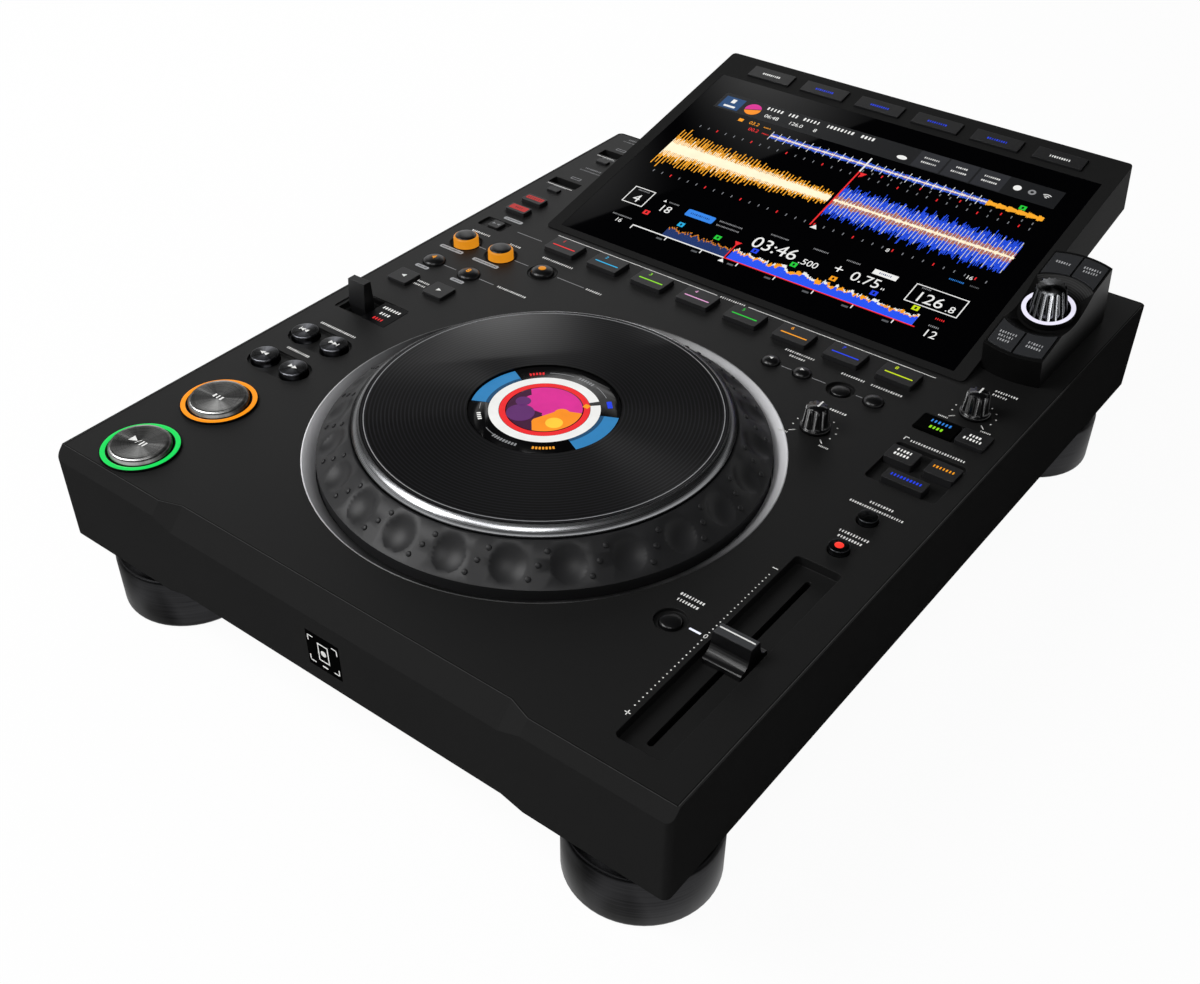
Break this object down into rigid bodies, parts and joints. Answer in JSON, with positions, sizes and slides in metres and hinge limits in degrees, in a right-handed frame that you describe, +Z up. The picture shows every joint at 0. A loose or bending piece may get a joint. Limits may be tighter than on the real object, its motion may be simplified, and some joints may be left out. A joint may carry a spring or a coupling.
{
  "type": "tabletop dj media player",
  "caption": "Flat console with a large turning jog wheel, a tilted touch display that overhangs the back, a tempo fader, and rows of keys, knobs and buttons, on round metal feet.",
  "frame": {"origin": "middle of the overall footprint, on the surface under the feet", "axes": "+X right, +Y from the front face to the back, +Z up"},
  "size_m": [0.329, 0.4776, 0.1239],
  "materials": {
    "case_plastic": "fine texture",
    "deck_plastic": "fine texture",
    "base_steel": "satin",
    "foot_metal": "turned and blackened",
    "gloss_black": "polished",
    "dish_plastic": "satin silver",
    "ring_plastic": "satin",
    "chrome": "polished",
    "disc_plastic": "fine grooves",
    "spun_metal": "spun",
    "dark_spun": "spun",
    "key_plastic": "satin",
    "dome_plastic": "polished",
    "amber_plastic": "clear amber",
    "red_key": "satin",
    "cue_key": "lit",
    "knob_plastic": "polished",
    "light_plastic": "lit",
    "board": "lacquered",
    "parts_grey": "plain",
    "socket_metal": "plain",
    "steel": "plain"
  },
  "bodies": {
    "case": {"main_case": "case_plastic", "top_plate": "deck_plastic", "base_plate": "base_steel", "feet": "foot_metal", "display_housing": "case_plastic", "display_panel": "gloss_black", "selector_pod": "case_plastic", "jog_well": "dish_plastic", "jog_display": "gloss_black", "fader_unit": "steel", "light_guides": "light_plastic", "circuit_boards": "board", "power_supply": "parts_grey", "connectors": "socket_metal"},
    "jog_wheel": {"jog_ring": "ring_plastic", "jog_rim": "chrome", "jog_disc": "disc_plastic"},
    "display_keys": {"display_keys": "key_plastic"},
    "selector_keys": {"selector_keys": "spun_metal"},
    "selector_shaft": {"selector_shaft": "steel"},
    "selector_knob": {"selector_knob": "spun_metal"},
    "tempo_slider": {"tempo_slider": "key_plastic"},
    "power_button": {"power_button": "key_plastic"},
    "play_button": {"play_button": "spun_metal"},
    "cue_button": {"cue_button": "spun_metal"},
    "search_back_button": {"search_back_button": "dark_spun"},
    "search_forward_button": {"search_forward_button": "dark_spun"},
    "track_back_button": {"track_back_button": "dark_spun"},
    "track_forward_button": {"track_forward_button": "dark_spun"},
    "direction_lever": {"direction_lever": "knob_plastic"},
    "beat_jump_back_key": {"beat_jump_back_key": "key_plastic"},
    "beat_jump_forward_key": {"beat_jump_forward_key": "key_plastic"},
    "beat_loop_four_button": {"beat_loop_four_button": "dome_plastic"},
    "beat_loop_eight_button": {"beat_loop_eight_button": "dome_plastic"},
    "loop_in_button": {"loop_in_button": "amber_plastic"},
    "loop_out_button": {"loop_out_button": "amber_plastic"},
    "reloop_button": {"reloop_button": "dome_plastic"},
    "loader_key": {"loader_key": "dome_plastic"},
    "slip_quantize_keys": {"slip_quantize_keys": "red_key"},
    "usb_stop_keys": {"usb_stop_keys": "key_plastic"},
    "hot_cue_1": {"hot_cue_1": "cue_key"},
    "hot_cue_2": {"hot_cue_2": "cue_key"},
    "hot_cue_3": {"hot_cue_3": "cue_key"},
    "hot_cue_4": {"hot_cue_4": "cue_key"},
    "hot_cue_5": {"hot_cue_5": "cue_key"},
    "hot_cue_6": {"hot_cue_6": "cue_key"},
    "hot_cue_7": {"hot_cue_7": "cue_key"},
    "hot_cue_8": {"hot_cue_8": "cue_key"},
    "cue_call_buttons": {"cue_call_buttons": "dome_plastic"},
    "delete_button": {"delete_button": "dome_plastic"},
    "memory_button": {"memory_button": "dome_plastic"},
    "jog_adjust_knob": {"jog_adjust_knob": "knob_plastic"},
    "speed_adjust_knob": {"speed_adjust_knob": "knob_plastic"},
    "jog_mode_key": {"jog_mode_key": "key_plastic"},
    "beat_sync_key": {"beat_sync_key": "key_plastic"},
    "key_sync_key": {"key_sync_key": "key_plastic"},
    "master_key": {"master_key": "key_plastic"},
    "tempo_range_button": {"tempo_range_button": "dark_spun"},
    "master_tempo_button": {"master_tempo_button": "dark_spun"},
    "tempo_reset_button": {"tempo_reset_button": "dome_plastic"}
  },
  "joints": [
    {"name": "jog_spin", "type": "hinge", "parent": "case", "child": "jog_wheel", "pos_m": [0, -0.10196, 0.0828], "axis": [0, 0, 1], "continuous": true},
    {"name": "tempo_slide", "type": "slide", "parent": "case", "child": "tempo_slider", "axis": [0, -1, 0], "range_m": [-0.05, 0.05]},
    {"name": "selector_shaft_press", "type": "slide", "parent": "case", "child": "selector_shaft", "axis": [0, 0.2188, -0.9758], "range_m": [0, 0.0008], "stiffness_N_per_m": 300, "springref_m": -0.002},
    {"name": "selector_spin", "type": "hinge", "parent": "selector_shaft", "child": "selector_knob", "pos_m": [0.1391, 0.10434, 0.09507], "axis": [0, -0.2188, 0.9758], "continuous": true},
    {"name": "selector_keys_press", "type": "slide", "parent": "case", "child": "selector_keys", "axis": [0, 0.2188, -0.9758], "range_m": [0, 0.0008], "stiffness_N_per_m": 300, "springref_m": -0.002},
    {"name": "display_keys_press", "type": "slide", "parent": "case", "child": "display_keys", "axis": [0, 0.2188, -0.9758], "range_m": [0, 0.0008], "stiffness_N_per_m": 300, "springref_m": -0.002},
    {"name": "jog_adjust_turn", "type": "hinge", "parent": "case", "child": "jog_adjust_knob", "pos_m": [0.0886, -0.02116, 0.0828], "axis": [0, 0, 1], "range_deg": [-135, 135]},
    {"name": "speed_adjust_turn", "type": "hinge", "parent": "case", "child": "speed_adjust_knob", "pos_m": [0.1396, 0.03224, 0.0828], "axis": [0, 0, 1], "range_deg": [-135, 135]},
    {"name": "direction_tilt", "type": "hinge", "parent": "case", "child": "direction_lever", "pos_m": [-0.1452, -0.06876, 0.0736], "axis": [1, 0, 0], "range_deg": [-14, 14]},
    {"name": "play_button_press", "type": "slide", "parent": "case", "child": "play_button", "axis": [0, 0, -1], "range_m": [0, 0.0015], "stiffness_N_per_m": 300, "springref_m": -0.002},
    {"name": "cue_button_press", "type": "slide", "parent": "case", "child": "cue_button", "axis": [0, 0, -1], "range_m": [0, 0.0015], "stiffness_N_per_m": 300, "springref_m": -0.002},
    {"name": "search_back_button_press", "type": "slide", "parent": "case", "child": "search_back_button", "axis": [0, 0, -1], "range_m": [0, 0.0008], "stiffness_N_per_m": 300, "springref_m": -0.002},
    {"name": "search_forward_button_press", "type": "slide", "parent": "case", "child": "search_forward_button", "axis": [0, 0, -1], "range_m": [0, 0.0008], "stiffness_N_per_m": 300, "springref_m": -0.002},
    {"name": "track_back_button_press", "type": "slide", "parent": "case", "child": "track_back_button", "axis": [0, 0, -1], "range_m": [0, 0.0008], "stiffness_N_per_m": 300, "springref_m": -0.002},
    {"name": "track_forward_button_press", "type": "slide", "parent": "case", "child": "track_forward_button", "axis": [0, 0, -1], "range_m": [0, 0.0008], "stiffness_N_per_m": 300, "springref_m": -0.002},
    {"name": "beat_jump_back_key_press", "type": "slide", "parent": "case", "child": "beat_jump_back_key", "axis": [0, 0, -1], "range_m": [0, 0.0008], "stiffness_N_per_m": 300, "springref_m": -0.002},
    {"name": "beat_jump_forward_key_press", "type": "slide", "parent": "case", "child": "beat_jump_forward_key", "axis": [0, 0, -1], "range_m": [0, 0.0008], "stiffness_N_per_m": 300, "springref_m": -0.002},
    {"name": "beat_loop_four_button_press", "type": "slide", "parent": "case", "child": "beat_loop_four_button", "axis": [0, 0, -1], "range_m": [0, 0.0008], "stiffness_N_per_m": 300, "springref_m": -0.002},
    {"name": "beat_loop_eight_button_press", "type": "slide", "parent": "case", "child": "beat_loop_eight_button", "axis": [0, 0, -1], "range_m": [0, 0.0008], "stiffness_N_per_m": 300, "springref_m": -0.002},
    {"name": "loop_in_button_press", "type": "slide", "parent": "case", "child": "loop_in_button", "axis": [0, 0, -1], "range_m": [0, 0.0008], "stiffness_N_per_m": 300, "springref_m": -0.002},
    {"name": "loop_out_button_press", "type": "slide", "parent": "case", "child": "loop_out_button", "axis": [0, 0, -1], "range_m": [0, 0.0008], "stiffness_N_per_m": 300, "springref_m": -0.002},
    {"name": "reloop_button_press", "type": "slide", "parent": "case", "child": "reloop_button", "axis": [0, 0, -1], "range_m": [0, 0.0008], "stiffness_N_per_m": 300, "springref_m": -0.002},
    {"name": "loader_key_press", "type": "slide", "parent": "case", "child": "loader_key", "axis": [0, 0, -1], "range_m": [0, 0.0008], "stiffness_N_per_m": 300, "springref_m": -0.002},
    {"name": "slip_quantize_keys_press", "type": "slide", "parent": "case", "child": "slip_quantize_keys", "axis": [0, 0, -1], "range_m": [0, 0.0008], "stiffness_N_per_m": 300, "springref_m": -0.002},
    {"name": "usb_stop_keys_press", "type": "slide", "parent": "case", "child": "usb_stop_keys", "axis": [0, 0, -1], "range_m": [0, 0.0008], "stiffness_N_per_m": 300, "springref_m": -0.002},
    {"name": "hot_cue_1_press", "type": "slide", "parent": "case", "child": "hot_cue_1", "axis": [0, 0, -1], "range_m": [0, 0.0008], "stiffness_N_per_m": 300, "springref_m": -0.002},
    {"name": "hot_cue_2_press", "type": "slide", "parent": "case", "child": "hot_cue_2", "axis": [0, 0, -1], "range_m": [0, 0.0008], "stiffness_N_per_m": 300, "springref_m": -0.002},
    {"name": "hot_cue_3_press", "type": "slide", "parent": "case", "child": "hot_cue_3", "axis": [0, 0, -1], "range_m": [0, 0.0008], "stiffness_N_per_m": 300, "springref_m": -0.002},
    {"name": "hot_cue_4_press", "type": "slide", "parent": "case", "child": "hot_cue_4", "axis": [0, 0, -1], "range_m": [0, 0.0008], "stiffness_N_per_m": 300, "springref_m": -0.002},
    {"name": "hot_cue_5_press", "type": "slide", "parent": "case", "child": "hot_cue_5", "axis": [0, 0, -1], "range_m": [0, 0.0008], "stiffness_N_per_m": 300, "springref_m": -0.002},
    {"name": "hot_cue_6_press", "type": "slide", "parent": "case", "child": "hot_cue_6", "axis": [0, 0, -1], "range_m": [0, 0.0008], "stiffness_N_per_m": 300, "springref_m": -0.002},
    {"name": "hot_cue_7_press", "type": "slide", "parent": "case", "child": "hot_cue_7", "axis": [0, 0, -1], "range_m": [0, 0.0008], "stiffness_N_per_m": 300, "springref_m": -0.002},
    {"name": "hot_cue_8_press", "type": "slide", "parent": "case", "child": "hot_cue_8", "axis": [0, 0, -1], "range_m": [0, 0.0008], "stiffness_N_per_m": 300, "springref_m": -0.002},
    {"name": "cue_call_buttons_press", "type": "slide", "parent": "case", "child": "cue_call_buttons", "axis": [0, 0, -1], "range_m": [0, 0.0008], "stiffness_N_per_m": 300, "springref_m": -0.002},
    {"name": "delete_button_press", "type": "slide", "parent": "case", "child": "delete_button", "axis": [0, 0, -1], "range_m": [0, 0.0008], "stiffness_N_per_m": 300, "springref_m": -0.002},
    {"name": "memory_button_press", "type": "slide", "parent": "case", "child": "memory_button", "axis": [0, 0, -1], "range_m": [0, 0.0008], "stiffness_N_per_m": 300, "springref_m": -0.002},
    {"name": "jog_mode_key_press", "type": "slide", "parent": "case", "child": "jog_mode_key", "axis": [0, 0, -1], "range_m": [0, 0.0008], "stiffness_N_per_m": 300, "springref_m": -0.002},
    {"name": "beat_sync_key_press", "type": "slide", "parent": "case", "child": "beat_sync_key", "axis": [0, 0, -1], "range_m": [0, 0.0008], "stiffness_N_per_m": 300, "springref_m": -0.002},
    {"name": "key_sync_key_press", "type": "slide", "parent": "case", "child": "key_sync_key", "axis": [0, 0, -1], "range_m": [0, 0.0008], "stiffness_N_per_m": 300, "springref_m": -0.002},
    {"name": "master_key_press", "type": "slide", "parent": "case", "child": "master_key", "axis": [0, 0, -1], "range_m": [0, 0.0008], "stiffness_N_per_m": 300, "springref_m": -0.002},
    {"name": "tempo_range_button_press", "type": "slide", "parent": "case", "child": "tempo_range_button", "axis": [0, 0, -1], "range_m": [0, 0.0008], "stiffness_N_per_m": 300, "springref_m": -0.002},
    {"name": "master_tempo_button_press", "type": "slide", "parent": "case", "child": "master_tempo_button", "axis": [0, 0, -1], "range_m": [0, 0.0008], "stiffness_N_per_m": 300, "springref_m": -0.002},
    {"name": "tempo_reset_button_press", "type": "slide", "parent": "case", "child": "tempo_reset_button", "axis": [0, 0, -1], "range_m": [0, 0.0008], "stiffness_N_per_m": 300, "springref_m": -0.002},
    {"name": "power_button_press", "type": "slide", "parent": "case", "child": "power_button", "axis": [0, -1, 0], "range_m": [0, 0.002], "stiffness_N_per_m": 300, "springref_m": -0.002}
  ]
}
